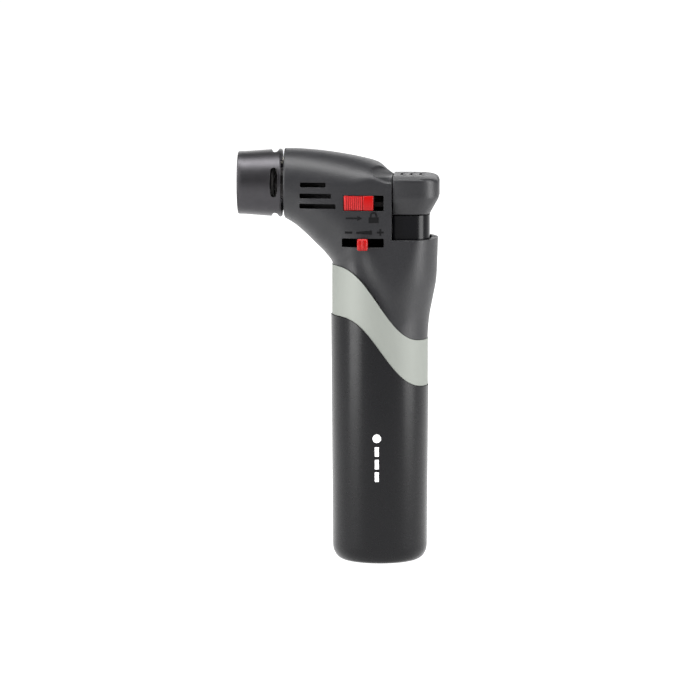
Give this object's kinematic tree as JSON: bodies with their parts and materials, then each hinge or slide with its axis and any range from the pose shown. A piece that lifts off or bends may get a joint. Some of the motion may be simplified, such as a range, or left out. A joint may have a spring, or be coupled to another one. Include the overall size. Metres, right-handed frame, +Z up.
{
  "type": "butane torch",
  "caption": "Pistol-shaped refillable butane torch with wind guard, thumb button, lock slider, flame lever and round tank body.",
  "frame": {"origin": "centre of the flat base, on the axis of the round body", "axes": "+Z up along the body, -X towards the flame, +X towards the thumb button, -Y the side with the lock slider and flame lever"},
  "size_m": [0.0572, 0.0289, 0.1178],
  "materials": {
    "black_plastic": "fine matt moulded texture",
    "button_plastic": "fine matt moulded texture",
    "gloss_black": "smooth semi-gloss",
    "gloss_stem": "polished",
    "silver_band": "satin silver paint",
    "black_chrome": "black chrome plating",
    "dark_metal": "heat-blackened",
    "steel": "plain steel",
    "spring_steel": "drawn wire",
    "brass": "turned",
    "ceramic": "glazed ceramic",
    "wire_jacket": "matt jacket",
    "seal_rubber": "matt",
    "red_plastic": "semi-gloss",
    "filter": "porous",
    "tube_plastic": "translucent",
    "white_plastic": "satin",
    "grey_plastic": "satin",
    "tank_plastic": "smoky translucent"
  },
  "bodies": {
    "root": {"left_housing": "black_plastic", "right_housing": "black_plastic", "housing_screw_1": "steel", "housing_screw_2": "steel", "housing_screw_3": "steel", "trim_band": "silver_band", "body_sleeve": "gloss_black", "wind_guard": "black_chrome", "guard_plate": "steel", "burner_mount": "dark_metal", "burner_tube": "dark_metal", "flame_holder": "brass", "mixing_tube": "brass", "gas_jet": "brass", "electrode_insulator": "ceramic", "spark_electrode": "steel", "spark_wire": "wire_jacket", "lever_pin": "steel", "valve_body": "brass", "valve_filter": "filter", "valve_seal": "seal_rubber", "valve_spring": "spring_steel", "gas_tube": "tube_plastic", "piezo_case": "white_plastic", "piezo_contact": "brass", "piezo_crystal": "ceramic", "piezo_anvil": "steel", "hammer_spring": "spring_steel", "button_spring": "spring_steel", "fuel_tank": "tank_plastic", "tank_lid": "grey_plastic", "lid_gasket": "seal_rubber", "fill_valve_body": "brass", "fill_valve_spring": "spring_steel", "fill_valve_seal": "seal_rubber"},
    "button": {"thumb_button": "button_plastic", "button_stem": "gloss_stem", "piezo_plunger": "white_plastic"},
    "lock": {"lock_slider": "red_plastic"},
    "flame_control": {"flame_lever": "red_plastic"},
    "gas_lever": {"gas_lever": "steel"},
    "valve_stem": {"valve_stem": "brass"},
    "hammer": {"piezo_hammer": "steel"},
    "fill_stem": {"fill_valve_stem": "brass"}
  },
  "joints": [
    {"name": "button_press", "type": "slide", "parent": "root", "child": "button", "axis": [0, 0, -1], "range_m": [0, 0.005], "stiffness_N_per_m": 1500, "springref_m": -0.001, "deforming": ["button_spring"]},
    {"name": "lock_slide", "type": "slide", "parent": "root", "child": "lock", "axis": [1, 0, 0], "range_m": [0, 0.0029]},
    {"name": "flame_adjust", "type": "hinge", "parent": "root", "child": "flame_control", "pos_m": [-0.0045, 0, 0.0919], "axis": [0, 0, 1], "range_deg": [-15, 15]},
    {"name": "gas_lever_tilt", "type": "hinge", "parent": "root", "child": "gas_lever", "pos_m": [-0.0006, 0, 0.0952], "axis": [0, 1, 0], "range_deg": [0, 10.5]},
    {"name": "valve_lift", "type": "slide", "parent": "root", "child": "valve_stem", "axis": [0, 0, 1], "range_m": [0, 0.0007], "deforming": ["valve_spring"]},
    {"name": "hammer_strike", "type": "slide", "parent": "root", "child": "hammer", "axis": [0, 0, -1], "range_m": [0, 0.004], "stiffness_N_per_m": 600, "springref_m": -0.0005, "deforming": ["hammer_spring"]},
    {"name": "refill_press", "type": "slide", "parent": "root", "child": "fill_stem", "axis": [0, 0, 1], "range_m": [0, 0.0012], "stiffness_N_per_m": 800, "springref_m": -0.0004, "deforming": ["fill_valve_spring"]}
  ],
  "couplings": [
    {"joint": "gas_lever_tilt", "follows": "button_press", "rad_per_m": 34.9},
    {"joint": "valve_lift", "follows": "button_press", "ratio": 0.13}
  ]
}
